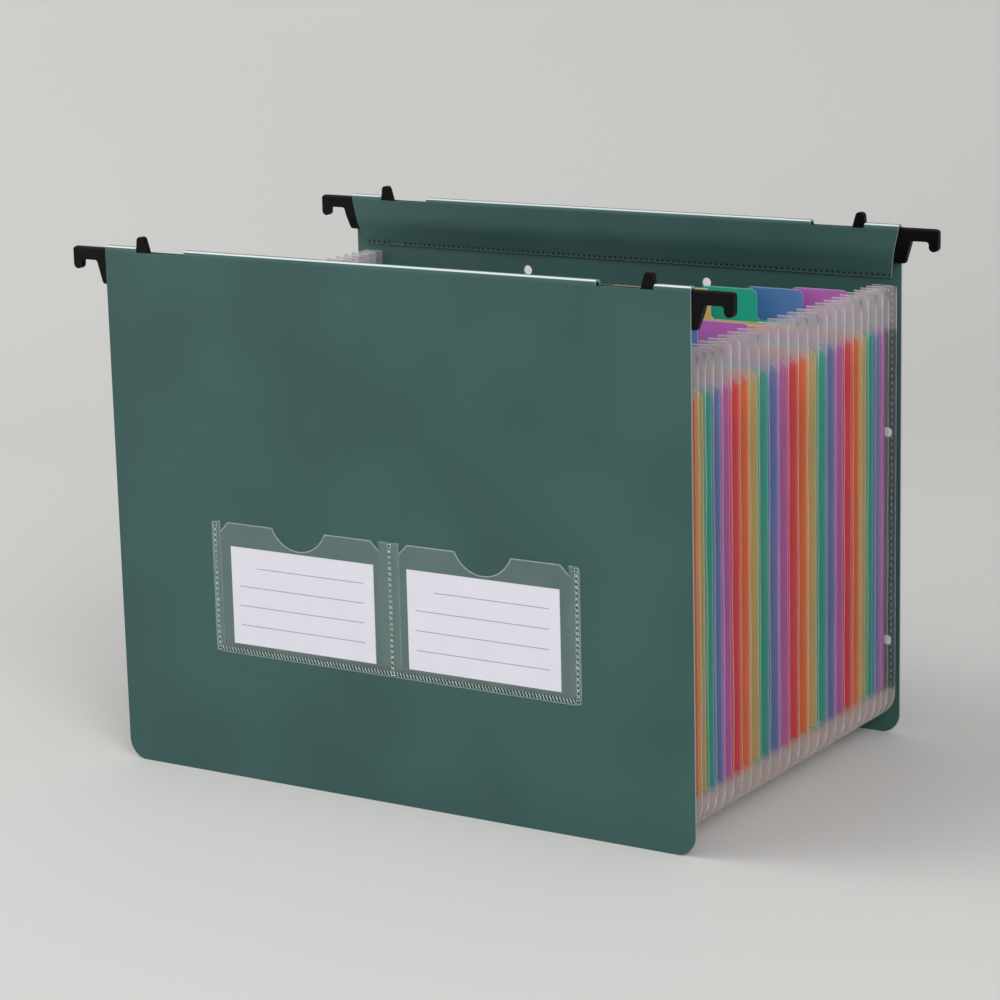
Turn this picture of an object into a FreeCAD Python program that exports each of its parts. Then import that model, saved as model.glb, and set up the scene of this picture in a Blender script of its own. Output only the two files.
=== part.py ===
import FreeCAD, Part
import Sketcher
import math
import os
import re
from FreeCAD import Placement, Rotation, Vector

# Hanging accordion file in millimetres: +X runs along the covers, -Y is the label side, +Z is up, and
# the origin is the centre of the standing file's box, on the surface that the covers stand on.
DIVIDERS = 24
TAB_PLACES = 12
SIZES = {
    # Covers: one folded sheet each, its top welded into a sleeve for the hooks.
    "width": 318,
    "height": 255,
    "depth": 211.5,
    "cover_sheet": 1.0,
    "cover_corner": 10,
    "fold_radius": 2.5,
    "sleeve_gap": 3.2,
    "sleeve_straight": 14.0,
    "sleeve_bend": 20,
    "sleeve_drop": 25.2,
    "flap_margin": 1.2,
    "flap_slant": 5.5,
    "slot_inner": 112,
    "slot_outer": 141,
    "slot_depth": 2.5,
    # Punched holes of the back cover.
    "hole_radius": 2.5,
    "hole_spacing": 105,
    "hole_drop": 35,
    "hole_edge": 7,
    "hole_middle": 100,
    # Steel strips inside the sleeves.
    "rail_sheet": 1.0,
    "rail_height": 12,
    "rail_length": 273,
    "rail_drop": 5.5,
    "rail_corner": 2,
    # Hooks, measured from the cover's top and outwards from its side edge.
    "hook_thick": 3.0,
    "hook_fit": 0.05,
    "hook_drop": 1.3,
    "crown_round": 1.4,
    "crown_cut": 1.45,
    "groove_end": 0.4,
    "slider_length": 41,
    "slider_drop": 3.0,
    "leg_bottom": 18.8,
    "leg_toe": 3.0,
    "leg_width": 6.3,
    "seat_drop": 7.6,
    "seat_width": 9.3,
    "tip_width": 4.9,
    "tip_drop": 12.3,
    "tip_corner": 2.0,
    "tip_round": 2.4,
    "notch_corner": 1.5,
    "heel_rise": 6.8,
    "heel_cut": 1.4,
    "thumb_inner": 24.9,
    "thumb_width": 6.8,
    "thumb_lean": 2.4,
    "thumb_tip": 3.8,
    "thumb_rise": 5.0,
    "thumb_round": 2.1,
    # Clear label holder and its two cards.
    "film_clear": 0.35,
    "label_width": 204,
    "label_top": 126.4,
    "label_tall": 64.4,
    "label_corner": 1.5,
    "pocket_inner": 5.5,
    "pocket_outer": 96.8,
    "pocket_floor": 67.2,
    "pocket_gap": 0.45,
    "mouth_cut": 4.6,
    "thumb_notch": 15,
    "thumb_notch_deep": 10,
    "card_sheet": 0.3,
    "card_middle": 50.3,
    "card_width": 82,
    "card_tall": 47.5,
    # Dividers and the film pleats that hold them.
    "divider_sheet": 0.4,
    "divider_width": 306.6,
    "divider_bottom": 18,
    "wing_bottom": 24.5,
    "divider_top": 207,
    "divider_corner": 3.5,
    "divider_step": 15,
    "tab_top": 222,
    "tab_width": 31.6,
    "tab_step": 21.5,
    "tab_corner": 3.5,
    "tab_root": 1.5,
    "film": 0.3,
    "film_width": 292,
    "film_flap": 2.5,
    "pleat_deep": 11,
    "pleat_top": 225,
    "pockets": DIVIDERS + 1,
    "pitch_end": 5.8,
}
# The label holder stands proud of the front cover, so the covers lie this far behind the box's middle.
SETBACK = "(film_clear + pocket_gap) / 2"
FRONT = f"{SETBACK} - depth / 2"
BACK = f"{SETBACK} + depth / 2"
# The pockets are narrow beside the covers and widest in the middle of the bellows.
FAN = "(depth - 2 * cover_sheet - pockets * pitch_end) * sin(90 deg / pockets)"

doc = FreeCAD.newDocument("accordion_file")
sheet = doc.addObject("Spreadsheet::Sheet", "Sizes")
for row, (alias, number) in enumerate(SIZES.items(), start=1):
    sheet.set(f"A{row}", alias)
    sheet.set(f"B{row}", str(number))
    sheet.setAlias(f"B{row}", alias)
doc.recompute()


def bound(words):
    """The expression with each size's name pointed at its cell."""
    return re.sub(r"[a-z_]+", lambda w: f"Sizes.{w[0]}" if w[0] in SIZES else w[0], words)


def value(words):
    return float(sheet.evalExpression(bound(words)))


def pitch(number):
    """Spacing from the sheet before pocket number to the sheet behind it."""
    return f"(pitch_end + {FAN} * sin(180 deg * ({number} - 0.5) / pockets))"


def new_body(label, y, anchor="", turned=False):
    """Empty body with its own label, set y behind anchor's body or, without one, behind the origin."""
    body = doc.addObject("PartDesign::Body", label)
    body.Label = label
    body.Placement = Placement(Vector(), Rotation(Vector(0, 0, 1), 180 if turned else 0))
    start = f"{anchor}.Placement.Base.y + " if anchor else ""
    body.setExpression("Placement.Base.y", f"{start}({bound(y)}) * 1 mm")
    return body


def new_sketch(body, name, role, lift="0"):
    """Sketch on one of the body's own planes, moved along the plane's normal by lift."""
    sketch = body.newObject("Sketcher::SketchObject", name)
    plane = next(o for o in body.Origin.OriginFeatures if o.Role == role)
    sketch.AttachmentSupport = [(plane, "")]
    sketch.MapMode = "FlatFace"
    sketch.setExpression("AttachmentOffset.Base.z", bound(lift))
    return sketch


def fix_point(sketch, geometry, end, across, up):
    """Tie a point of the sketch to its two sizes, counted from the sketch's origin."""
    for kind, size in (("DistanceX", across), ("DistanceY", up)):
        rule = Sketcher.Constraint(kind, -1, 1, geometry, end, value(size))
        sketch.setExpression(f"Constraints[{sketch.addConstraint(rule)}]", bound(size))


def round_corner(sketch, before, after, spot, bisector, corner):
    """Arc tangent to two lines, whose meeting point stays as a construction point."""
    across, up, size = corner
    radius = value(size)
    ends = [sketch.Geometry[before].EndPoint, sketch.Geometry[after].StartPoint]
    half = (ends[0] - spot).getAngle(bisector)
    centre = spot + bisector * (radius / math.sin(half))
    spokes = [end - centre for end in ends]
    left_turn = spokes[0].cross(spokes[1]).z > 0
    first, last = spokes if left_turn else reversed(spokes)
    angles = [math.atan2(spoke.y, spoke.x) for spoke in (first, last)]
    circle = Part.Circle(centre, Vector(0, 0, 1), radius)
    arc = sketch.addGeometry(Part.ArcOfCircle(circle, *angles))
    mark = sketch.addGeometry(Part.Point(spot), True)
    fix_point(sketch, mark, 1, across, up)
    sketch.addConstraint(Sketcher.Constraint("PointOnObject", mark, 1, before))
    sketch.addConstraint(Sketcher.Constraint("PointOnObject", mark, 1, after))
    sketch.addConstraint(Sketcher.Constraint("Tangent", before, 2, arc, 1 if left_turn else 2))
    sketch.addConstraint(Sketcher.Constraint("Tangent", arc, 2 if left_turn else 1, after, 1))
    rule = sketch.addConstraint(Sketcher.Constraint("Radius", arc, radius))
    sketch.setExpression(f"Constraints[{rule}]", bound(size))


def draw(sketch, corners, closed=True):
    """Straight runs through the corners; a corner is (across, up) or (across, up, radius)."""
    count = len(corners)
    spots = [Vector(value(corner[0]), value(corner[1]), 0) for corner in corners]
    ways = [(spots[(i + 1) % count] - spots[i]).normalize() for i in range(count)]
    turns = [(-ways[i - 1]).getAngle(ways[i]) for i in range(count)]
    reach = [0] * count
    for i, corner in enumerate(corners):
        if len(corner) == 3:
            reach[i] = value(corner[2]) / math.tan(turns[i] / 2)
    runs = []
    for i in range(count if closed else count - 1):
        after = (i + 1) % count
        line = Part.LineSegment(spots[i] + ways[i] * reach[i], spots[after] - ways[i] * reach[after])
        runs.append(sketch.addGeometry(line))
    for i, corner in enumerate(corners):
        if not closed and i in (0, count - 1):
            line, end = (runs[0], 1) if i == 0 else (runs[-1], 2)
            fix_point(sketch, line, end, *corner)
        elif len(corner) == 2:
            sketch.addConstraint(Sketcher.Constraint("Coincident", runs[i - 1], 2, runs[i], 1))
            fix_point(sketch, runs[i], 1, *corner)
        else:
            bisector = (ways[i] - ways[i - 1]).normalize()
            round_corner(sketch, runs[i - 1], runs[i], spots[i], bisector, corner)


def draw_circle(sketch, across, up, radius):
    circle = Part.Circle(Vector(value(across), value(up), 0), Vector(0, 0, 1), value(radius))
    ring = sketch.addGeometry(circle)
    fix_point(sketch, ring, 3, across, up)
    rule = sketch.addConstraint(Sketcher.Constraint("Radius", ring, value(radius)))
    sketch.setExpression(f"Constraints[{rule}]", bound(radius))


def rectangle(left, bottom, right, top, *radius):
    return [(left, bottom, *radius), (right, bottom, *radius), (right, top, *radius), (left, top, *radius)]


def pad(body, sketch, length, both_ways=False, backwards=False):
    feature = body.newObject("PartDesign::Pad", sketch.Name + "_pad")
    feature.Profile = sketch
    feature.setExpression("Length", bound(length))
    if both_ways:
        feature.SideType = "Symmetric"
    feature.Reversed = backwards
    return feature


def pocket(body, sketch, length=None, backwards=False):
    """Cut along the sketch's normal, by length or right through; a cut that misses is an error."""
    doc.recompute()
    volume = body.Shape.Volume
    feature = body.newObject("PartDesign::Pocket", sketch.Name + "_pocket")
    feature.Profile = sketch
    feature.Reversed = backwards
    if length:
        feature.setExpression("Length", bound(length))
    else:
        feature.Type = "ThroughAll"
    doc.recompute()
    if body.Shape.Volume > volume - 0.01:
        raise RuntimeError(f"{feature.Name} cuts nothing")
    return feature


def fillet(body, radius, chosen):
    """Round the edges of the body for which chosen(edge) is true."""
    doc.recompute()
    tip = body.Tip
    names = [f"Edge{i}" for i, edge in enumerate(tip.Shape.Edges, start=1) if chosen(edge)]
    feature = body.newObject("PartDesign::Fillet", f"{body.Name}_fillet")
    feature.Base = (tip, names)
    feature.setExpression("Radius", bound(radius))
    return feature


def cover(label, turned):
    """Folded sheet: its outer face on y = 0, the sleeve's flap behind it, welded along its lower edge."""
    body = new_body(label, BACK if turned else FRONT, turned=turned)
    profile = new_sketch(body, f"{label}_section", "YZ_Plane")
    back = "2 * cover_sheet + sleeve_gap"
    weld = "height - sleeve_drop"
    straight = "height - sleeve_straight"
    draw(profile, [
        ("0", "0"),
        ("0", "height", "fold_radius"),
        (back, "height", "fold_radius"),
        (back, straight, "sleeve_bend"),
        ("2 * cover_sheet", weld),
        ("2 * cover_sheet", f"{weld} - flap_margin"),
        ("cover_sheet", f"{weld} - flap_margin"),
        ("cover_sheet", "0"),
    ])
    inner = "fold_radius - cover_sheet"
    draw(profile, [
        ("cover_sheet", weld),
        ("cover_sheet", "height - cover_sheet", inner),
        ("cover_sheet + sleeve_gap", "height - cover_sheet", inner),
        ("cover_sheet + sleeve_gap", straight, "sleeve_bend"),
    ])
    pad(body, profile, "width", both_ways=True)

    slots = new_sketch(body, f"{label}_slots", "XZ_Plane")
    for side in ("", "-"):
        ends = (f"{side}slot_inner", f"{side}slot_outer")
        draw(slots, rectangle(ends[0], "height - slot_depth", ends[1], "height + slot_depth"))
    pocket(body, slots)

    slants = new_sketch(body, f"{label}_slants", "XZ_Plane", "-cover_sheet")
    for side in ("", "-"):
        draw(slants, [
            (f"{side}width / 2", "height - fold_radius"),
            (f"{side}width / 2", f"{weld} - 2 * flap_margin"),
            (f"{side}(width / 2 - flap_slant)", f"{weld} - 2 * flap_margin"),
        ])
    pocket(body, slants)

    low = value("cover_corner")
    fillet(body, "cover_corner", lambda edge: edge.BoundBox.ZMax < low and edge.BoundBox.XLength < 0.001)
    return body


def draw_side_holes(sketch):
    for side in ("", "-"):
        for step in ("-", "+"):
            up = f"hole_middle {step} hole_spacing / 2"
            draw_circle(sketch, f"{side}(width / 2 - hole_edge)", up, "hole_radius")


def back_holes(body):
    """Two holes under the sleeve and two near each side edge, all on the same spacing."""
    sketch = new_sketch(body, "back_holes", "XZ_Plane")
    draw_side_holes(sketch)
    for side in ("", "-"):
        draw_circle(sketch, f"{side}hole_spacing / 2", "height - hole_drop", "hole_radius")
    pocket(body, sketch)


def rail(label, host):
    """Flat strip, its face on the inside of the cover's sheet."""
    body = new_body(label, "0", host.Name, host.Placement.Rotation.Angle > 0)
    sketch = new_sketch(body, f"{label}_outline", "XZ_Plane", "-cover_sheet")
    top = "height - rail_drop"
    draw(sketch, rectangle("-rail_length / 2", f"{top} - rail_height", "rail_length / 2", top, "rail_corner"))
    pad(body, sketch, "rail_sheet", backwards=True)
    return body


def hook(label, host, side):
    """Hook drawn out to its stop: slider with a thumb tab, leg, seat for the cabinet's rail, and tip."""
    body = new_body(label, "0", host.Name, host.Placement.Rotation.Angle > 0)

    def out(length):
        return f"{side}(width / 2 + {length})"

    def down(length):
        return f"height - {length}"

    tip = "leg_width + seat_width"
    sketch = new_sketch(body, f"{label}_outline", "XZ_Plane", "-cover_sheet")
    draw(sketch, [
        (out("0 - slider_length"), down("leg_bottom"), "notch_corner"),
        (out("leg_toe"), down("leg_bottom"), "notch_corner"),
        (out("leg_width"), down("seat_drop"), "notch_corner"),
        (out(tip), down("seat_drop"), "notch_corner"),
        (out(tip), down("tip_drop"), "tip_round"),
        (out(f"{tip} + tip_width"), down("tip_drop"), "tip_round"),
        (out(f"{tip} + tip_width"), down("hook_drop"), "tip_corner"),
        (out("0 - hook_drop"), down("hook_drop")),
        (out("0 - slider_drop"), down("slider_drop")),
        (out("thumb_width - thumb_inner"), down("slider_drop")),
        (out("thumb_lean + thumb_tip - thumb_inner"), "height + thumb_rise", "thumb_round"),
        (out("thumb_lean - thumb_inner"), "height + thumb_rise", "thumb_round"),
        (out("0 - thumb_inner"), down("slider_drop")),
        (out("0 - slider_length"), down("slider_drop"), "notch_corner"),
    ])
    pad(body, sketch, "hook_thick", backwards=True)

    # The groove runs over the strip, which stops it short of the leg when the hook is pushed in.
    groove = new_sketch(body, f"{label}_groove", "XZ_Plane", "-cover_sheet")
    ends = (out("0 - slider_length - notch_corner"), out("0 - groove_end"))
    low = "height - rail_drop - rail_height - hook_fit"
    draw(groove, rectangle(ends[0], low, ends[1], "height - rail_drop + hook_fit"))
    pocket(body, groove, "rail_sheet + hook_fit")

    # The arm's top is rounded to pass under the fold.
    crown = new_sketch(body, f"{label}_crown", "YZ_Plane", out("0 - slider_drop"))
    top = "height - hook_drop"
    over = f"{top} + crown_round"
    foot = f"{top} - crown_cut"
    for face, inward, outward in (("cover_sheet", "+", "-"), ("cover_sheet + hook_thick", "-", "+")):
        draw(crown, [
            (f"{face} {outward} crown_round", foot),
            (f"{face} {outward} crown_round", over),
            (f"{face} {inward} crown_cut", over),
            (f"{face} {inward} crown_cut", top),
            (face, top, "crown_round"),
            (face, foot),
        ])
    pocket(body, crown, backwards=not side)

    # The slider's lower edge gets thinner where the flap closes in on the cover.
    heel = new_sketch(body, f"{label}_heel", "YZ_Plane", out("leg_width"))
    face = "cover_sheet + hook_thick"
    foot = down("leg_bottom")
    draw(heel, [
        (face, f"{foot} + heel_rise"),
        (f"{face} - heel_cut", foot),
        (f"{face} - heel_cut", f"{foot} - heel_cut"),
        (f"{face} + heel_cut", f"{foot} - heel_cut"),
        (f"{face} + heel_cut", f"{foot} + heel_rise"),
    ])
    pocket(body, heel, backwards=bool(side))
    return body


def label_holder():
    """Clear film on the front cover: a flat margin, and two raised windows that are open at the top."""
    body = new_body("label_holder", FRONT)
    floor = "label_top - label_tall"
    margin = new_sketch(body, "label_margin", "XZ_Plane")
    draw(margin, rectangle("-label_width / 2", floor, "label_width / 2", "label_top", "label_corner"))
    pad(body, margin, "film_clear")

    windows = new_sketch(body, "label_windows", "XZ_Plane")
    hollows = new_sketch(body, "label_hollows", "XZ_Plane")
    mouths = new_sketch(body, "label_mouths", "XZ_Plane")
    notches = new_sketch(body, "label_notches", "XZ_Plane")
    sagitta = "(thumb_notch * thumb_notch / thumb_notch_deep + thumb_notch_deep) / 2"
    for side in ("", "-"):
        inner = f"{side}pocket_inner"
        outer = f"{side}pocket_outer"
        draw(windows, rectangle(f"{side}(pocket_inner - film_clear)", "pocket_floor - film_clear",
                                f"{side}(pocket_outer + film_clear)", "label_top"))
        draw(hollows, rectangle(inner, "pocket_floor", outer, "label_top + mouth_cut"))
        for edge, turn in ((inner, "+"), (outer, "-")):
            beside = f"{side}({edge.lstrip('-')} {turn} mouth_cut)"
            draw(mouths, [(edge, "label_top - mouth_cut"), (beside, "label_top"), (edge, "label_top")])
        draw_circle(notches, f"{side}(pocket_inner + pocket_outer) / 2",
                    f"label_top - thumb_notch_deep + {sagitta}", sagitta)
    pad(body, windows, "film_clear + pocket_gap")
    pocket(body, hollows, "pocket_gap", backwards=True)
    pocket(body, mouths, backwards=True)
    pocket(body, notches, backwards=True)
    return body


def card(label, side):
    """Paper card that stands on its pocket's floor, with its back on the cover."""
    body = new_body(label, FRONT)
    sketch = new_sketch(body, f"{label}_outline", "XZ_Plane")
    left = f"{side}card_middle - card_width / 2"
    draw(sketch, rectangle(left, "pocket_floor", f"{left} + card_width", "pocket_floor + card_tall"))
    pad(body, sketch, "card_sheet")
    return body


def bottom_bend(side):
    """Three creases that turn the weld line's lower corner, from the side to the bottom."""
    centre = ("film_width / 2 - divider_corner", "divider_bottom + divider_corner")
    reach = "divider_corner / cos(divider_step * 1 deg)"
    return [(f"{side}({centre[0]} + {reach} * cos({turn} * divider_step * 1 deg))",
             f"{centre[1]} - {reach} * sin({turn} * divider_step * 1 deg)") for turn in (1, 3, 5)]


def divider(number, anchor, y):
    """Coloured sheet with one tab, its side margins out past the film's welds.

    The tabs step from left to right and start again halfway.
    """
    body = new_body(f"divider_{number:02d}", y, anchor)
    place = (number - 1) % TAB_PLACES
    middle = f"({place} - {TAB_PLACES - 1} / 2) * tab_step"
    edge = "divider_width / 2"
    outline = bottom_bend("")[::-1]
    outline += [("film_width / 2", "wing_bottom"), (edge, "wing_bottom")]
    outline += [(edge, "divider_top - divider_corner"), (f"{edge} - divider_corner", "divider_top")]
    for way in ("+", "-"):
        tab = [
            (f"{middle} {way} (tab_width / 2 + tab_root)", "divider_top"),
            (f"{middle} {way} tab_width / 2", "divider_top + tab_root"),
            (f"{middle} {way} tab_width / 2", "tab_top", "tab_corner"),
        ]
        outline += tab if way == "+" else tab[::-1]
    outline += [(f"divider_corner - {edge}", "divider_top"), (f"0 - {edge}", "divider_top - divider_corner")]
    outline += [(f"0 - {edge}", "wing_bottom"), ("0 - film_width / 2", "wing_bottom")]
    outline += bottom_bend("-")
    sketch = new_sketch(body, f"{body.Name}_outline", "XZ_Plane")
    draw(sketch, outline)
    pad(body, sketch, "divider_sheet", both_ways=True)
    return body


def pleat_section(gap, number):
    """Film section across pocket number, as (outwards from its weld, behind the pocket's front)."""
    peak = "pleat_deep"
    if number == 1:
        return [("0 - film_flap", "0"), (peak, "0"), (peak, "2 * film"), ("0", gap), ("0 - film_flap", gap),
                ("0 - film_flap", f"{gap} - film"), ("0", f"{gap} - film"), (f"{peak} - film", "film"),
                ("0 - film_flap", "film")]
    if number == DIVIDERS + 1:
        front = pleat_section(gap, 1)
        return [(out, f"{gap} - ({behind})") for out, behind in front]
    half = f"{gap} / 2"
    return [("0 - film_flap", "0"), ("0", "0"), (peak, f"{half} - film"), (peak, f"{half} + film"),
            ("0", gap), ("0 - film_flap", gap), ("0 - film_flap", f"{gap} - film"), ("0", f"{gap} - film"),
            (f"{peak} - film", half), ("0", "film"), ("0 - film_flap", "film")]


def gusset(number, anchor, y, gap):
    """Film pleat of one pocket, drawn down one side, under the bottom and up the other side."""
    body = new_body(f"gusset_{number:02d}", y, anchor)
    edge = "film_width / 2"
    route = new_sketch(body, f"{body.Name}_route", "XZ_Plane")
    bends = bottom_bend("") + bottom_bend("-")[::-1]
    draw(route, [(edge, "pleat_top"), *bends, (f"0 - {edge}", "pleat_top")], closed=False)
    section = new_sketch(body, f"{body.Name}_section", "XY_Plane", "pleat_top")
    draw(section, [(f"{edge} + {out}", behind) for out, behind in pleat_section(gap, number)])
    doc.recompute()
    sweep = body.newObject("PartDesign::AdditivePipe", f"{body.Name}_sweep")
    sweep.Profile = section
    sweep.Spine = (route, [f"Edge{i}" for i in range(1, len(route.Shape.Edges) + 1)])
    sweep.Transition = "Right corner"
    if number == DIVIDERS + 1:
        pierce_leaf(body, gap)
    return body


def pierce_leaf(body, gap):
    """The back cover's side holes go on through the film leaf that is welded over them."""
    sketch = new_sketch(body, "leaf_holes", "XZ_Plane", f"0 - {gap} + film")
    draw_side_holes(sketch)
    pocket(body, sketch, "film")


def bellows(front):
    """Pleats and dividers in turn, from the front cover's inner face to the back cover's."""
    pieces = []
    before = front
    face = "cover_sheet"
    half = "divider_sheet / 2"
    for number in range(1, DIVIDERS + 2):
        last = number == DIVIDERS + 1
        taken = half if before is front or last else "divider_sheet"
        pieces.append(gusset(number, before.Name, face, f"({pitch(number)} - {taken})"))
        if not last:
            step = f"{pitch(number)} + cover_sheet" if before is front else pitch(number)
            before = divider(number, before.Name, step)
            pieces.append(before)
            face = half
    return pieces


def check(bodies):
    """Stop before anything is written if a feature or a shape has failed."""
    doc.recompute()
    for item in doc.Objects:
        if {"Invalid", "Error"} & set(item.State):
            raise RuntimeError(f"{item.Label} is {item.State}")
    for body in bodies:
        if body.Shape.isNull() or not body.Shape.isValid() or len(body.Shape.Solids) != 1:
            raise RuntimeError(f"{body.Label} is not one valid solid")


front_cover = cover("front_cover", turned=False)
back_cover = cover("back_cover", turned=True)
back_holes(back_cover)
parts = [
    front_cover,
    back_cover,
    rail("front_rail", front_cover),
    rail("back_rail", back_cover),
    hook("front_left_hook", front_cover, "-"),
    hook("front_right_hook", front_cover, ""),
    hook("back_left_hook", back_cover, ""),
    hook("back_right_hook", back_cover, "-"),
    label_holder(),
    card("left_card", "-"),
    card("right_card", ""),
    *bellows(front_cover),
]
check(parts)
os.makedirs("parts", exist_ok=True)
for part in parts:
    part.Shape.exportStep(f"parts/{part.Label}.step")
print(f"{len(parts)} parts, widest pocket {value(pitch(DIVIDERS // 2 + 1)):.2f} mm")
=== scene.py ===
import math
import random

import bpy
from mathutils import Matrix, Vector


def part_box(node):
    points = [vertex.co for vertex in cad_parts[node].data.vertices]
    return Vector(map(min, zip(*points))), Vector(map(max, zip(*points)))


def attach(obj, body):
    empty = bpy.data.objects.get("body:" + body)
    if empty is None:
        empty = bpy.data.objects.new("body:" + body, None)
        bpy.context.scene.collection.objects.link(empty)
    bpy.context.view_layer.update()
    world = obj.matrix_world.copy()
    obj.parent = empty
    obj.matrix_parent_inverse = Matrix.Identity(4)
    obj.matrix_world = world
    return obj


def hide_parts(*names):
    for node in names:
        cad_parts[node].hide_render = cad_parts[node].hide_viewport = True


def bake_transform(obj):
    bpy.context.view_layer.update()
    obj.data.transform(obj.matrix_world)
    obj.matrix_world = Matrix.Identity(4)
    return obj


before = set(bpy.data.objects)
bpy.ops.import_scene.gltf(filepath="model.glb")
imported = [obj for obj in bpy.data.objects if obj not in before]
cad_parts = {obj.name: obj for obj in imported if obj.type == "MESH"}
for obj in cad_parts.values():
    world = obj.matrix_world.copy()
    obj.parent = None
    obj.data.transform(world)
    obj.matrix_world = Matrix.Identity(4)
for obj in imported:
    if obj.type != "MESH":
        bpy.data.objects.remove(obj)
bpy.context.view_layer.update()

MM = 0.001

# The camera stands where the photograph was taken from.
CAMERA_PLACE = Vector((0.7884, -1.2480, 0.4600))
CAMERA_AZIMUTH = math.radians(32.48)
CAMERA_ELEVATION = math.radians(12.79)
CAMERA_ROLL = math.radians(-1.40)
SENSOR = 36.0
FOCAL_LENGTH = 3.1037 * SENSOR


def node_box(name):
    """Lowest and highest corner of a solid, in millimetres."""
    low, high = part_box(name)
    return low / MM, high / MM


# Dividers repeat six colours from front to back, and a film pleat stands before and behind each of them.
COLOURS = {
    "red": (238, 66, 82),
    "orange": (246, 120, 56),
    "yellow": (230, 202, 118),
    "green": (34, 192, 156),
    "blue": (88, 142, 204),
    "violet": (206, 118, 204),
}
TINTS = list(COLOURS.values())
POCKETS = sum(name.startswith("gusset_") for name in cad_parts)
TAB_TALL = 15.0
MARGIN_FOOT = 6.5
DIVIDER_LOW, DIVIDER_HIGH = node_box("divider_12")
DIVIDER_BODY_TOP = DIVIDER_HIGH.z - TAB_TALL
DIVIDER_MARGIN_FOOT = DIVIDER_LOW.z + MARGIN_FOOT

# Covers are folded over at the top, and the flap is welded to the sheet along a row of pressed marks.
# Their cut edges are painted paler up to a height just under that row.
COVER_GREEN = (54, 87, 83)
COVER_SHEET = 1.0
FRONT_LOW, FRONT_HIGH = node_box("front_cover")
BACK_HIGH = node_box("back_cover")[1]
PALE_EDGE_TOP = 225.0
SLEEVE_DROP = 25.2
SLEEVE_WELD = FRONT_HIGH.z - SLEEVE_DROP
SLEEVE_RUNS = ((-151, -138), (-128, 153.4))
SLEEVE_PITCH = 3.05
SLEEVE_MARK = (1.1, 2.1, 0.5)
SLEEVE_MARK_DROP = 0.2

# The label holder has two pockets side by side, measured from its middle, its foot and its top.
LABEL_LOW, LABEL_HIGH = node_box("label_holder")
LABEL_FILM = 0.35
LABEL_SEAM = 1.75
POCKET_MIDDLE = 51.15
POCKET_HALF = 45.65
POCKET_FLOOR = 5.2
POCKET_MOUTH = 4.6
THUMB_RADIUS = 16.25
THUMB_ABOVE = 6.25
BRAID_PITCH = 2.6
BRAID_STROKES = (((0.44, 2.9, 0.10), 48), ((0.38, 2.9, 0.08), -48))
SQUARE_HALF = 0.9
SQUARE_STROKES = ((0.32, 2.1, 0.09), (0.32, 2.1, 0.07))
FOOT_PITCH = 1.8
FOOT_STROKE = (0.46, 2.4, 0.10)
FOOT_CLEAR = 2.2
FOOT_LEAN = 28

# Ruled lines of a card, as shares of its width and height.
RULED_STARTS = (0.18, 0.055, 0.055, 0.055)
RULED_END = 0.93
RULED_TOP = 0.8
RULED_STEP = 0.2
RULED_HALF = 0.16

# Film pleats: their roots are welded a little inside the dividers' edges, and their folds stand out beyond.
PLEAT_HIGH = node_box("gusset_12")[1]
PLEAT_DEEP = 11.0
ROOT_EDGE = PLEAT_HIGH.x - PLEAT_DEEP
PLEAT_CORNER = 3.0
FILM = 0.14
FILM_CLEAR = 0.06
FILM_RIM = 0.45
FLAP = 2.5
FLAP_RIM = 0.3
FLAP_WHITE = 0.15
ROOT_FLAT = 0.4
ROOT_BEND = 3.5
FOLD_HALF = 0.19
FOLD_START = 0.55
FOLD_TIP = 0.12
FOLD_TIP_SHARE = 0.45
FOLD_WHITE = 0.1
LEAF_BOW = 0.35
LEAF_POINTS = 6
SIDE_STATIONS = 22
BEND_STATIONS = 7
FLOOR_STATIONS = 14
# Painted glint: a brighter mark at the fold tips where the lower corners begin to bend.
GLINT_STATION = SIDE_STATIONS + 2
GLINT = (1, 5)
FOLD_LEAN = 0.45
WAVES = 3
WAVE_SIZE = (0.05, 0.22)
WAVE_LONG = (45, 110)
# Top rims of the film are painted white: partly whitening of the cut edge, partly a painted highlight.
END_WHITE = 0.9
FILM_SEAM_SIDE = 154.4
FILM_SEAM_FOOT = 22
FILM_SEAM_TOP = 221
FILM_PITCH = 3.4
FILM_MARK = (0.36, 1.6, 0.12)

# Film is painted with the colour of what lies behind it, standing in for light seen through it: a pocket's
# own divider near the root, and the next one further out.
# The turn from one to the other lies at these reaches on a pocket's front and back leaf.
NEXT_REACH = (9.5, 8.0)
NEXT_SOFT = 3.0
GLOW_SHARE = 0.62
GLOW_PALE = (84, 64, 66)
GLOW_LOSS = 0.6

# The backdrop's sizes and the point that the lamps face, in metres.
BACKDROP_HALF = 6.0
BACKDROP_NEAR = -4.0
BACKDROP_FAR = 1.6
BACKDROP_BEND = 0.8
BACKDROP_TOP = 3.2
BACKDROP_STEPS = 16
FOLDER_MIDDLE = Vector((0, 0, 0.12))


def linear(part):
    """A linear share of light for an 8-bit one."""
    part /= 255
    return part / 12.92 if part <= 0.04045 else ((part + 0.055) / 1.055) ** 2.4


def colour(red, green, blue):
    """A shader's colour from 8-bit shares."""
    return (linear(red), linear(green), linear(blue), 1.0)


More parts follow.
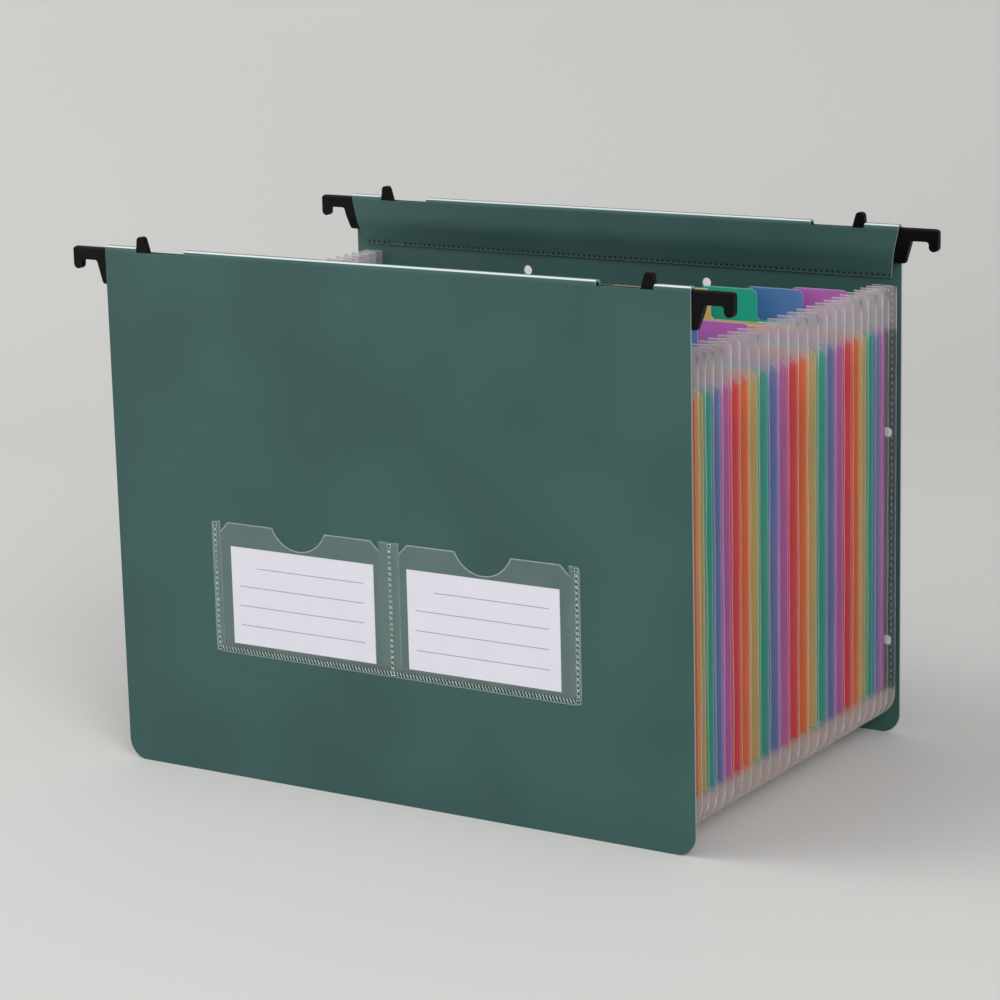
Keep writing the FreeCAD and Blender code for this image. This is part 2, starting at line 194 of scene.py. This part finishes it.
class Socket:
    """One output in a node tree; arithmetic on it adds Math nodes."""

    def __init__(self, tree, output):
        self.tree = tree
        self.output = output

    def maths(self, operation, *parts):
        """Output of a new Math node fed with these parts."""
        return self.tree.node("ShaderNodeMath", {"operation": operation}, dict(enumerate(parts)))

    def __add__(self, other):
        return self.maths("ADD", self, other)

    def __sub__(self, other):
        return self.maths("SUBTRACT", self, other)

    def __rsub__(self, other):
        return self.maths("SUBTRACT", other, self)

    def __mul__(self, other):
        return self.maths("MULTIPLY", self, other)

    def __abs__(self):
        return self.maths("ABSOLUTE", self)

    __radd__ = __add__
    __rmul__ = __mul__

    def most(self, other):
        """The larger of this and another value."""
        return self.maths("MAXIMUM", self, other)

    def root(self):
        return self.maths("SQRT", self)

    def rise(self, low, high):
        """0 below low and 1 above high, with a soft step between."""
        return self.tree.node("ShaderNodeMapRange", {"interpolation_type": "SMOOTHSTEP"},
                              {"Value": self, "From Min": low, "From Max": high})

    def within(self, low, high, soft):
        """1 between low and high, with a soft step at each."""
        return self.rise(low - soft, low + soft) * (1 - self.rise(high - soft, high + soft))

    def mix(self, plain, other):
        """The first colour where this is 0 and the second where it is 1."""
        inputs = {0: self, 6: plain, 7: other}
        return self.tree.node("ShaderNodeMix", {"data_type": "RGBA"}, inputs, out=2)


class Tree:
    """A node tree in the making."""

    def __init__(self, owner):
        self.nodes = owner.nodes
        self.links = owner.links

    def feed(self, socket, value):
        """Link another node's output to a socket, or set the socket's own value."""
        if isinstance(value, Socket):
            self.links.new(value.output, socket)
        else:
            socket.default_value = value

    def node(self, kind, settings=None, sockets=None, out=0):
        """Add a node of that kind, set it up, feed its sockets and give back one output."""
        node = self.nodes.new(kind)
        for name, setting in (settings or {}).items():
            setattr(node, name, setting)
        for name, value in (sockets or {}).items():
            self.feed(node.inputs[name], value)
        return Socket(self, node.outputs[out])


class Finish(Tree):
    """A material whose pattern is read from Object coordinates, in millimetres."""

    def __init__(self, name, roughness, metallic=0.0):
        self.material = bpy.data.materials.new(name)
        self.material.use_nodes = True
        super().__init__(self.material.node_tree)
        self.shader = self.nodes["Principled BSDF"]
        self.paint("Roughness", roughness)
        self.paint("Metallic", metallic)
        place = self.node("ShaderNodeTexCoord", out="Object")
        self.place = self.node("ShaderNodeVectorMath", {"operation": "SCALE"}, {0: place, "Scale": 1 / MM})

    def axes(self, vector):
        """The three parts of a vector."""
        split = self.node("ShaderNodeSeparateXYZ", sockets={0: vector}).output.node
        return [Socket(self, output) for output in split.outputs]

    def facing(self):
        """Size of the surface normal along each axis."""
        return [abs(axis) for axis in self.axes(self.node("ShaderNodeNewGeometry", out="Normal"))]

    def noise(self, size, stretch=(1, 1, 1), detail=2.0):
        """Noise round 0.5 with features of that size in millimetres, drawn out by stretch."""
        spread = tuple(1 / (size * share) for share in stretch)
        place = self.node("ShaderNodeVectorMath", {"operation": "MULTIPLY"}, {0: self.place, 1: spread})
        return self.node("ShaderNodeTexNoise", sockets={"Vector": place, "Scale": 1.0, "Detail": detail})

    def mark(self, name):
        """A value that the piece's own mesh carries."""
        return self.node("ShaderNodeAttribute", {"attribute_name": name}, out="Fac")

    def paint(self, socket, value):
        self.feed(self.shader.inputs[socket], value)

    def relief(self, height, distance):
        """Bump that stands the given distance, in millimetres, where height is 1."""
        bump = self.node("ShaderNodeBump", sockets={"Height": height, "Distance": distance * MM})
        self.paint("Normal", bump)


def cover_finish():
    """Dark green sheet with a fine matt grain; its cut edges are painted paler, and the crest of its fold is
    painted near-white, partly whitening at the fold and partly a painted highlight.
    """
    sheet = Finish("cover_sheet", 0.42)
    z = sheet.axes(sheet.place)[2]
    across, through, upward = sheet.facing()
    grain = sheet.noise(0.55)
    shade = sheet.noise(70, detail=1.0) * 0.93 + sheet.noise(2.4, (1, 1, 30)) * 0.07
    green = shade.rise(0.35, 0.65).mix(colour(51, 84, 80), colour(57, 91, 87))
    # Cut edges are painted paler: those facing sideways everywhere, the others below the sleeve weld.
    cut = (1 - through.rise(0.35, 0.8)) * (1 - z.rise(PALE_EDGE_TOP, PALE_EDGE_TOP + 1))
    cut = cut.most(across.rise(0.35, 0.8))
    # Crest of the fold: partly the sheet's whitening at the fold, partly a painted highlight of the lamp
    # above.
    crest = upward.within(0.70, 0.95, 0.05) * z.rise(FRONT_HIGH.z - 2.5, FRONT_HIGH.z - 1.5)
    pale_edge_and_highlight = (cut * 0.35).most(crest * (0.75 + grain * 0.4))
    sheet.paint("Base Color", pale_edge_and_highlight.mix(green, colour(222, 232, 230)))
    sheet.paint("Roughness", 0.36 + grain * 0.12)
    sheet.paint("Specular IOR Level", 0.28)
    sheet.relief(grain, 0.02)
    return sheet.material


def hook_finish():
    """Black moulded plastic with a fine satin grain."""
    plastic = Finish("hook_plastic", 0.38)
    grain = plastic.noise(0.35)
    plastic.paint("Base Color", plastic.noise(9).rise(0.3, 0.7).mix(colour(6, 5, 5), colour(10, 8, 8)))
    plastic.paint("Roughness", 0.3 + grain * 0.16)
    plastic.paint("Specular IOR Level", 0.1)
    plastic.relief(grain, 0.02)
    return plastic.material


def rail_finish():
    """Rolled steel strip with long fine scratches."""
    steel = Finish("rail_steel", 0.3, metallic=1.0)
    scratch = steel.noise(0.25, (120, 1, 1))
    steel.paint("Base Color", scratch.rise(0.3, 0.7).mix(colour(150, 152, 154), colour(190, 192, 194)))
    steel.paint("Roughness", 0.22 + scratch * 0.2)
    steel.relief(scratch, 0.01)
    return steel.material


def divider_finish(name, tint):
    """Coloured translucent sheet, paler along its cut edges and most of all round its tab."""
    sheet = Finish(f"divider_{name}", 0.35)
    z = sheet.axes(sheet.place)[2]
    grain = sheet.noise(0.5)
    deep = colour(*(part * 0.95 for part in tint))
    pale = colour(*(part * 0.5 + 118 for part in tint))
    cut = 1 - sheet.facing()[1].rise(0.4, 0.8)
    shade = sheet.noise(40, detail=1.0).rise(0.3, 0.7).mix(deep, colour(*tint))
    tab = z.rise(DIVIDER_BODY_TOP - 1, DIVIDER_BODY_TOP + 1)
    crest = z.rise(DIVIDER_HIGH.z - 0.6, DIVIDER_HIGH.z - 0.4)
    sheet.paint("Base Color", (cut * (0.3 + tab * 0.7)).most(crest * 0.8).mix(shade, pale))
    sheet.paint("Roughness", 0.3 + grain * 0.12)
    sheet.paint("Alpha", 0.75 + cut * 0.25)
    sheet.relief(grain, 0.02)
    return sheet.material


def pleat_finish():
    """Frosted film: painted with the colours seen through it, hazy above and below, painted lighter and
    warmer low down to make up for the shade there, white at creases and cuts with painted highlights and
    glints.
    """
    film = Finish("pleat_film", 0.3)
    z = film.axes(film.place)[2]
    cloud = film.noise(14, (1, 1, 4)).rise(0.3, 0.7)
    # Crease whitening along the folds and top rims, partly a painted highlight, with painted glints at the
    # lower corners.
    white = film.mark("whitening_and_highlight")
    above = z.rise(DIVIDER_BODY_TOP - 9, DIVIDER_BODY_TOP + 1)
    under = 1 - z.rise(DIVIDER_MARGIN_FOOT - 3, DIVIDER_MARGIN_FOOT + 3)
    bare = above.most(under)
    # Share of the film painted with the divider colours seen through it.
    seen_through = film.mark("near_divider") * (1 - bare)
    tint = film.node("ShaderNodeAttribute", {"attribute_name": "tint"}, out="Color")
    # Low down the film is painted lighter and warmer, to make up for the shade there.
    plain = under.mix(colour(194, 185, 190), colour(208, 192, 187))
    soft = seen_through.rise(0, 0.3).mix(plain, tint)
    film.paint("Base Color", white.mix(soft, colour(246, 244, 246)))
    haze = 0.02 + above * 0.14 + under * 0.18 + seen_through * 0.17
    film.paint("Alpha", haze * (0.75 + cloud * 0.5) + white * (0.08 + above * 0.12 - under * 0.05))
    film.paint("Roughness", 0.28 + film.noise(0.8) * 0.1)
    return film.material


def label_finish():
    """Film with an even haze, clear where it is welded, bright along its outline and thumb notches with a
    painted highlight on the cut edges, and painted lighter where it is one layer to make up for the shade on
    its back face.
    """
    film = Finish("label_film", 0.2)
    x, _, z = film.axes(film.place)
    aside, below, above = abs(x), LABEL_HIGH.z - z, z - LABEL_LOW.z
    from_side = LABEL_HIGH.x - aside
    within_pocket = POCKET_HALF - abs(aside - POCKET_MIDDLE)
    across, down = aside - POCKET_MIDDLE, below + THUMB_ABOVE
    notch = (across * across + down * down).root() - THUMB_RADIUS
    mouth = within_pocket + below - POCKET_MOUTH
    # The rim along the outline, thumb notches and pocket mouths is painted paler, as a highlight along the
    # cut edges.
    rim = (1 - from_side.rise(0.3, 0.6)).most(1 - above.rise(0.3, 0.6)).most(1 - below.rise(0.4, 0.7))
    slant = mouth.within(-0.2, 0.8, 0.15) * (1 - below.rise(POCKET_MOUTH, POCKET_MOUTH + 0.6))
    rim = rim.most(1 - notch.rise(0.4, 0.7)).most(slant)
    seam = (1 - abs(from_side - LABEL_SEAM).rise(1.1, 1.4)).most(1 - aside.rise(1.1, 1.4))
    seam = seam.most(1 - abs(above - LABEL_SEAM).rise(1.0, 1.3))
    # Where the film is one layer it is hazier, and painted lighter to make up for the shade on its back face
    # against the cover.
    single_painted_lighter = 1 - within_pocket.rise(-0.1, 0.1)
    single_painted_lighter = single_painted_lighter.most(1 - above.rise(POCKET_FLOOR - 0.1, POCKET_FLOOR + 0.1))
    haze = 0.062 + film.noise(12).rise(0.3, 0.7) * 0.015
    film.paint("Base Color", rim.most(single_painted_lighter).mix(colour(200, 212, 210), colour(226, 242, 238)))
    film.paint("Alpha", haze * (1 + single_painted_lighter * 0.9) * (1 - seam) + rim * 0.14)
    film.paint("Roughness", 0.16 + film.noise(5) * 0.08)
    return film.material


def card_finish(name, node):
    """Smooth paper with four ruled lines, the first of which starts further in."""
    low, high = node_box(node)
    paper = Finish(name, 0.6)
    x, _, z = paper.axes(paper.place)
    width, tall = high.x - low.x, high.z - low.z
    fibre = paper.noise(0.3)
    lines = 0
    for row, start in enumerate(RULED_STARTS):
        line = low.z + tall * (RULED_TOP - RULED_STEP * row)
        run = x.within(low.x + width * start, low.x + width * RULED_END, 0.1)
        lines = run * z.within(line - RULED_HALF, line + RULED_HALF, 0.08) + lines
    white = fibre.rise(0.2, 0.8).mix(colour(234, 229, 240), colour(240, 236, 246))
    paper.paint("Base Color", (lines * 0.85).mix(white, colour(88, 82, 94)))
    paper.relief(fibre, 0.015)
    return paper.material


def pressed_shade_finish():
    """Weld marks painted dark as the shade in a pressed recess, with a painted highlight at their lower end.
    """
    seam = Finish("weld_pressed_shade", 0.35)
    z = seam.axes(seam.place)[2]
    # Painted highlight where the lower slope of a recess would catch the light.
    foot = 1 - z.rise(SLEEVE_WELD - 0.75, SLEEVE_WELD - 0.45)
    seam.paint("Base Color", foot.mix(colour(14, 23, 23), colour(84, 110, 105)))
    seam.paint("Roughness", 0.3 + seam.noise(0.5) * 0.2)
    return seam.material


def melted_finish():
    """Pale glossy weld marks in clear film."""
    seam = Finish("weld_melted", 0.25)
    shade = seam.noise(0.9).rise(0.35, 0.65)
    seam.paint("Base Color", shade.mix(colour(172, 192, 186), colour(218, 230, 226)))
    seam.paint("Alpha", 0.85 + seam.noise(3.0).rise(0.3, 0.7) * 0.15)
    return seam.material


def dress(name, finish):
    """Give a solid its finish."""
    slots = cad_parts[name].data.materials
    slots.clear()
    slots.append(finish)


def new_object(name, data):
    """Object of a mesh, lamp or camera, linked to the scene."""
    made = bpy.data.objects.new(name, data)
    bpy.context.scene.collection.objects.link(made)
    return made


def swept(name, stations, finish):
    """Closed mesh from rings of points in millimetres, all of one length, with flat caps on its two ends."""
    ring = len(stations[0])
    last = (len(stations) - 1) * ring
    faces = []
    for row in range(0, last, ring):
        for i in range(ring):
            j = (i + 1) % ring
            faces.append((row + i, row + ring + i, row + ring + j, row + j))
    for i in range(ring // 2 - 1):
        cap = (i, i + 1, ring - 2 - i, ring - 1 - i)
        faces.append(cap)
        faces.append(tuple(last + corner for corner in reversed(cap)))
    mesh = bpy.data.meshes.new(name)
    mesh.from_pydata([point * MM for station in stations for point in station], [], faces)
    mesh.materials.append(finish)
    mesh.polygons.foreach_set("use_smooth", [True] * len(faces))
    return new_object(name, mesh)


def pocket_faces(number):
    """The two faces, along Y, between which a pocket's film runs."""
    front = FRONT_LOW.y + COVER_SHEET if number == 1 else node_box(f"divider_{number - 1:02d}")[1].y
    back = BACK_HIGH.y - COVER_SHEET if number == POCKETS else node_box(f"divider_{number:02d}")[0].y
    return front, back


def root_line():
    """Points and outward directions down the right side, under the bottom and up the left side."""
    bend = DIVIDER_LOW.z + ROOT_BEND
    top = PLEAT_HIGH.z
    heights = [top, top - FILM_RIM]
    heights += [top + (bend - top) * i / SIDE_STATIONS for i in range(1, SIDE_STATIONS)]
    half = [(Vector((ROOT_EDGE, 0, z)), Vector((1, 0, 0))) for z in heights]
    for i in range(BEND_STATIONS):
        turn = math.pi / 2 * i / BEND_STATIONS
        out = Vector((math.cos(turn), 0, -math.sin(turn)))
        half.append((Vector((ROOT_EDGE - ROOT_BEND, 0, bend)) + out * ROOT_BEND, out))
    floor = []
    for i in range(FLOOR_STATIONS + 1):
        x = (ROOT_EDGE - ROOT_BEND) * (1 - 2 * i / FLOOR_STATIONS)
        floor.append((Vector((x, 0, DIVIDER_LOW.z)), Vector((0, 0, -1))))
    mirrored = [(Vector((-spot.x, 0, spot.z)), Vector((-out.x, 0, out.z))) for spot, out in reversed(half)]
    return half + floor + mirrored


def glow(number, share):
    """Colour painted on film for the divider seen through it and, by share, for the next one; the cover comes
    last.
    """
    near, far = (TINTS[(k - 1) % len(TINTS)] if k < POCKETS else COVER_GREEN for k in (number, number + 1))
    return colour(*((a + (b - a) * share) * GLOW_SHARE + pale for a, b, pale in zip(near, far, GLOW_PALE)))


def pleat_line(number, gap):
    """Film's middle line across a pocket, as reach from the root, depth behind the front, white and slack."""
    near = FILM_CLEAR + FILM / 2
    far = gap - near
    fold = {1: near + FOLD_HALF, POCKETS: far - FOLD_HALF}.get(number, gap / 2)
    slack = 0 if number in (1, POCKETS) else 1
    leaves = []
    for root, way in ((near, 1), (far, -1)):
        end = fold - FOLD_HALF * way
        bow = 0 if abs(end - root) < FOLD_HALF else LEAF_BOW * way
        leaf = [(-FLAP, root, FLAP_WHITE, 0), (-FLAP + FLAP_RIM, root, 0, 0), (-ROOT_FLAT, root, 0, 0)]
        for i in range(1, LEAF_POINTS):
            share = i / LEAF_POINTS
            depth = root + (end - root) * share - bow * math.sin(math.pi * share)
            leaf.append((PLEAT_DEEP * share, depth, 0, slack * share))
        leaf.append((PLEAT_DEEP - FOLD_START, end, FOLD_WHITE, slack))
        leaf.append((PLEAT_DEEP - FOLD_TIP, fold - FOLD_HALF * FOLD_TIP_SHARE * way, 1, slack))
        leaves.append(leaf)
    return leaves[0] + leaves[1][::-1]


def leaf_glows(number, line):
    """Painted see-through colours of the two leaves of a pocket's film along its middle line."""
    glows = []
    for i, (reach, *_) in enumerate(line):
        turn = NEXT_REACH[i >= len(line) // 2]
        glows.append(glow(number, min(max((reach - turn) / NEXT_SOFT + 0.5, 0), 1)))
    return glows


def thickened(line):
    """Ring round the line, half the film's thickness to either side of it."""
    spots = [Vector(point[:2]) for point in line]
    outer, inner = [], []
    for i, spot in enumerate(spots):
        before = (spot - spots[i - 1] if i else spots[1] - spot).normalized()
        after = (spots[i + 1] - spot).normalized() if i + 1 < len(spots) else before
        way = (before + after).normalized()
        aside = Vector((way.y, -way.x)) * FILM / 2
        outer.append(spot + aside)
        inner.append(spot - aside)
    return outer + inner[::-1]


def keep_mark(mesh, name, kind, field, values):
    """Store one value or colour for each point of a mesh, for its finish to read."""
    mesh.attributes.new(name, kind, "POINT").data.foreach_set(field, values)


def pleat(number, finish):
    """One pocket's film, loose at the fold and round at the upper corners."""
    front, back = pocket_faces(number)
    line = pleat_line(number, back - front)
    ring = thickened(line)
    glows = leaf_glows(number, line)
    glows += glows[::-1]
    line += line[::-1]
    chance = random.Random(number)
    lean = chance.uniform(-FOLD_LEAN, FOLD_LEAN)
    waves = []
    for _ in range(WAVES):
        waves.append((chance.uniform(*WAVE_SIZE), chance.uniform(*WAVE_LONG), chance.uniform(0, 2 * math.pi)))
    glint = chance.uniform(*GLINT)
    root = root_line()
    stations, marks, near = [], [], []
    along = 0.0
    for i, (spot, out) in enumerate(root):
        along += (spot - root[i - 1][0]).length if i else 0
        shift = lean + sum(size * math.sin(2 * math.pi * along / long + phase) for size, long, phase in waves)
        end = i in (0, len(root) - 1)
        # A painted glint at the fold tips where the lower corners begin.
        shine = glint if i in (GLINT_STATION, len(root) - 1 - GLINT_STATION) else 1
        station = []
        for (reach, behind), (_, _, white, slack) in zip(ring, line):
            over = max(reach - PLEAT_DEEP + PLEAT_CORNER, 0) if end else 0
            drop = PLEAT_CORNER - math.sqrt(max(PLEAT_CORNER ** 2 - over ** 2, 0))
            station.append(spot + out * reach + Vector((0, front + behind + shift * slack, -drop)))
            marks.append(END_WHITE if end else white * shine)
            near.append(1 - GLOW_LOSS * max(reach, 0) / PLEAT_DEEP)
        stations.append(station)
    made = swept(f"film_{number:02d}", stations, finish)
    keep_mark(made.data, "whitening_and_highlight", "FLOAT", "value", marks)
    keep_mark(made.data, "near_divider", "FLOAT", "value", near)
    # Painted see-through colour for each point of the film.
    tints = [share for _ in root for tint in glows for share in tint]
    keep_mark(made.data, "tint", "FLOAT_COLOR", "color", tints)
    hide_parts(f"gusset_{number:02d}")
    front * MM
    back * MM
    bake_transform(made)


def weld_row_tree():
    """Node tree that adds a straight row of equal low marks to what comes in."""
    group = bpy.data.node_groups.new("weld_row", "GeometryNodeTree")
    group.interface.new_socket("Geometry", in_out="OUTPUT", socket_type="NodeSocketGeometry")
    for name, kind in (("Geometry", "Geometry"), ("Count", "Int"), ("Start", "Vector"), ("Step", "Vector"),
                       ("Size", "Vector"), ("Turn", "Vector"), ("Finish", "Material")):
        group.interface.new_socket(name, in_out="INPUT", socket_type=f"NodeSocket{kind}")
    tree = Tree(group)
    given = group.nodes.new("NodeGroupInput")
    inputs = {output.name: Socket(tree, output) for output in given.outputs}
    line = tree.node("GeometryNodeMeshLine", {"mode": "OFFSET"},
                     {"Count": inputs["Count"], "Start Location": inputs["Start"], "Offset": inputs["Step"]})
    pyramid = {"Vertices": 4, "Radius Top": 0.5, "Radius Bottom": math.sqrt(0.5), "Depth": 1.0}
    mark = tree.node("GeometryNodeMeshCone", sockets=pyramid)
    square = tree.node("GeometryNodeTransform", sockets={"Geometry": mark, "Rotation": (0, 0, math.pi / 4)})
    marks = tree.node("GeometryNodeInstanceOnPoints",
                      sockets={"Points": line, "Instance": square, "Rotation": inputs["Turn"],
                               "Scale": inputs["Size"]})
    both = tree.node("GeometryNodeJoinGeometry", sockets={"Geometry": inputs["Geometry"]})
    tree.feed(both.output.node.inputs["Geometry"], marks)
    solid = tree.node("GeometryNodeRealizeInstances", sockets={"Geometry": both})
    dressed = tree.node("GeometryNodeSetMaterial", sockets={"Geometry": solid, "Material": inputs["Finish"]})
    tree.feed(group.nodes.new("NodeGroupOutput").inputs["Geometry"], dressed)
    return group


def weld_row(start, end, pitch, size, lean=0.0, backwards=False):
    """Inputs for a row of marks from start to end, facing the front or backwards, in millimetres."""
    run = Vector(end) - Vector(start)
    count = round(run.length / pitch) + 1
    step = run / (count - 1)
    quarter = -math.pi / 2 if backwards else math.pi / 2
    return {"Count": count, "Start": Vector(start) * MM, "Step": step * MM, "Size": Vector(size) * MM,
            "Turn": (quarter, -math.radians(lean), 0.0)}


def weld(name, body, rows, finish, tree):
    """All weld marks of one seam as a plain mesh that rides on its body."""
    made = new_object(name, bpy.data.meshes.new(name))
    for row in rows:
        added = made.modifiers.new("row", "NODES")
        added.node_group = tree
        for item in tree.interface.items_tree:
            if item.in_out == "INPUT" and item.name in row:
                added[item.identifier] = row[item.name]
            elif item.name == "Finish":
                added[item.identifier] = finish
    solid = made.evaluated_get(bpy.context.evaluated_depsgraph_get())
    mesh = bpy.data.meshes.new_from_object(solid)
    made.modifiers.clear()
    made.data = mesh
    mesh.name = name
    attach(made, body)


def label_rows():
    """Three braided columns with a small square at either end, and a slanted band along the bottom."""
    y = FRONT_LOW.y - LABEL_FILM
    low, high = LABEL_LOW.z + LABEL_SEAM, LABEL_HIGH.z - LABEL_SEAM
    margin = LABEL_HIGH.x - LABEL_SEAM
    rows = []
    level, upright = SQUARE_STROKES
    for x in (-margin, 0, margin):
        start, end = (x, y, low + BRAID_PITCH), (x, y, high - BRAID_PITCH)
        for stroke, lean in BRAID_STROKES:
            rows.append(weld_row(start, end, BRAID_PITCH, stroke, lean))
        for z in (low, high):
            left, right = (x - SQUARE_HALF, y, z), (x + SQUARE_HALF, y, z)
            foot, top = (x, y, z - SQUARE_HALF), (x, y, z + SQUARE_HALF)
            rows.append(weld_row(left, right, 2 * SQUARE_HALF, level))
            rows.append(weld_row(foot, top, 2 * SQUARE_HALF, upright, 90))
    start, end = (FOOT_CLEAR - margin, y, low), (margin - FOOT_CLEAR, y, low)
    rows.append(weld_row(start, end, FOOT_PITCH, FOOT_STROKE, FOOT_LEAN))
    return rows


def sleeve_rows(y, backwards):
    """Marks along the line where a sleeve's flap is welded to its cover, with a short gap."""
    z = SLEEVE_WELD - SLEEVE_MARK_DROP
    return [weld_row((start, y, z), (end, y, z), SLEEVE_PITCH, SLEEVE_MARK, backwards=backwards)
            for start, end in SLEEVE_RUNS]


def film_rows(y, backwards):
    """Marks where an outermost leaf is welded to its cover."""
    rows = []
    for x in (-FILM_SEAM_SIDE, FILM_SEAM_SIDE):
        foot, top = (x, y, FILM_SEAM_FOOT), (x, y, FILM_SEAM_TOP)
        rows.append(weld_row(foot, top, FILM_PITCH, FILM_MARK, backwards=backwards))
    return rows


def stage():
    """Pale floor that curves up into a backdrop."""
    paint = Finish("stage_paint", 0.75)
    shade = paint.noise(900).rise(0.2, 0.8)
    paint.paint("Base Color", shade.mix(colour(209, 208, 205), colour(215, 214, 211)))
    bend_start = BACKDROP_FAR - BACKDROP_BEND
    profile = [Vector((0, BACKDROP_NEAR, 0)), Vector((0, bend_start, 0))]
    for i in range(1, BACKDROP_STEPS + 1):
        turn = math.pi / 2 * i / BACKDROP_STEPS
        rise = BACKDROP_BEND - BACKDROP_BEND * math.cos(turn)
        profile.append(Vector((0, bend_start + BACKDROP_BEND * math.sin(turn), rise)))
    profile.append(Vector((0, BACKDROP_FAR, BACKDROP_TOP)))
    to_camera = Matrix.Rotation(CAMERA_AZIMUTH, 3, "Z")
    sides = (Vector((-BACKDROP_HALF, 0, 0)), Vector((BACKDROP_HALF, 0, 0)))
    points = [to_camera @ (point + side) for point in profile for side in sides]
    faces = [(2 * i, 2 * i + 1, 2 * i + 3, 2 * i + 2) for i in range(len(profile) - 1)]
    mesh = bpy.data.meshes.new("backdrop")
    mesh.from_pydata(points, [], faces)
    mesh.polygons.foreach_set("use_smooth", [True] * len(faces))
    mesh.materials.append(paint.material)
    new_object("backdrop", mesh)


def lamp(name, place, size, power):
    """Soft round lamp, turned to the folder's middle."""
    light = bpy.data.lights.new(name, "AREA")
    light.shape = "DISK"
    light.size = size
    light.energy = power
    made = new_object(name, light)
    made.location = place
    made.rotation_euler = (FOLDER_MIDDLE - made.location).to_track_quat("-Z", "Y").to_euler()


def light_studio():
    """Even pale light from all round and three soft lamps."""
    world = bpy.data.worlds.new("soft_room")
    world.use_nodes = True
    sky = world.node_tree.nodes["Background"]
    sky.inputs["Color"].default_value = colour(236, 238, 240)
    sky.inputs["Strength"].default_value = 0.6
    bpy.context.scene.world = world
    lamp("key", (1.7, -1.5, 1.5), 1.2, 27)
    lamp("fill", (-1.6, -1.9, 0.8), 1.6, 10)
    lamp("overhead", (-1.1, -0.5, 1.8), 1.0, 13)


def place_camera():
    """Camera at the photograph's place and angle."""
    ahead = Vector((-math.sin(CAMERA_AZIMUTH) * math.cos(CAMERA_ELEVATION),
                    math.cos(CAMERA_AZIMUTH) * math.cos(CAMERA_ELEVATION), -math.sin(CAMERA_ELEVATION)))
    level = Vector((math.cos(CAMERA_AZIMUTH), math.sin(CAMERA_AZIMUTH), 0))
    upright = level.cross(ahead)
    across = level * math.cos(CAMERA_ROLL) + upright * math.sin(CAMERA_ROLL)
    above = upright * math.cos(CAMERA_ROLL) - level * math.sin(CAMERA_ROLL)
    lens = bpy.data.cameras.new("camera")
    lens.sensor_width = SENSOR
    lens.lens = FOCAL_LENGTH
    lens.clip_start = 0.05
    camera = new_object("camera", lens)
    axes = Matrix((across, above, -ahead)).transposed()
    camera.matrix_world = Matrix.Translation(CAMERA_PLACE) @ axes.to_4x4()
    bpy.context.scene.camera = camera


place_camera()
light_studio()
stage()

green_sheet = cover_finish()
black_plastic = hook_finish()
steel = rail_finish()
for end in ("front", "back"):
    dress(f"{end}_cover", green_sheet)
    dress(f"{end}_rail", steel)
    for side in ("left", "right"):
        dress(f"{end}_{side}_hook", black_plastic)
for side in ("left", "right"):
    dress(f"{side}_card", card_finish(f"card_{side}", f"{side}_card"))
dress("label_holder", label_finish())

sheets = [divider_finish(name, tint) for name, tint in COLOURS.items()]
for number in range(1, POCKETS):
    dress(f"divider_{number:02d}", sheets[(number - 1) % len(sheets)])
frosted = pleat_finish()
for number in range(1, POCKETS + 1):
    pleat(number, frosted)

row_tree = weld_row_tree()
# Sleeve weld marks: painted shade with a painted highlight at their lower end.
pressed = pressed_shade_finish()
melted = melted_finish()
flap_face = 2 * COVER_SHEET
leaf_face = COVER_SHEET + FILM_CLEAR + FILM
weld("label_seams", "front_cover", label_rows(), melted, row_tree)
weld("front_sleeve_seam", "front_cover", sleeve_rows(FRONT_LOW.y + flap_face, True), pressed, row_tree)
weld("back_sleeve_seam", "back_cover", sleeve_rows(BACK_HIGH.y - flap_face, False), pressed, row_tree)
weld("front_film_seam", "front_cover", film_rows(FRONT_LOW.y + leaf_face, True), melted, row_tree)
weld("back_film_seam", "back_cover", film_rows(BACK_HIGH.y - leaf_face, False), melted, row_tree)

scene = bpy.context.scene
scene.view_settings.view_transform = "Standard"
# Twenty leaves of film can lie one behind the other.
scene.cycles.transparent_max_bounces = 64
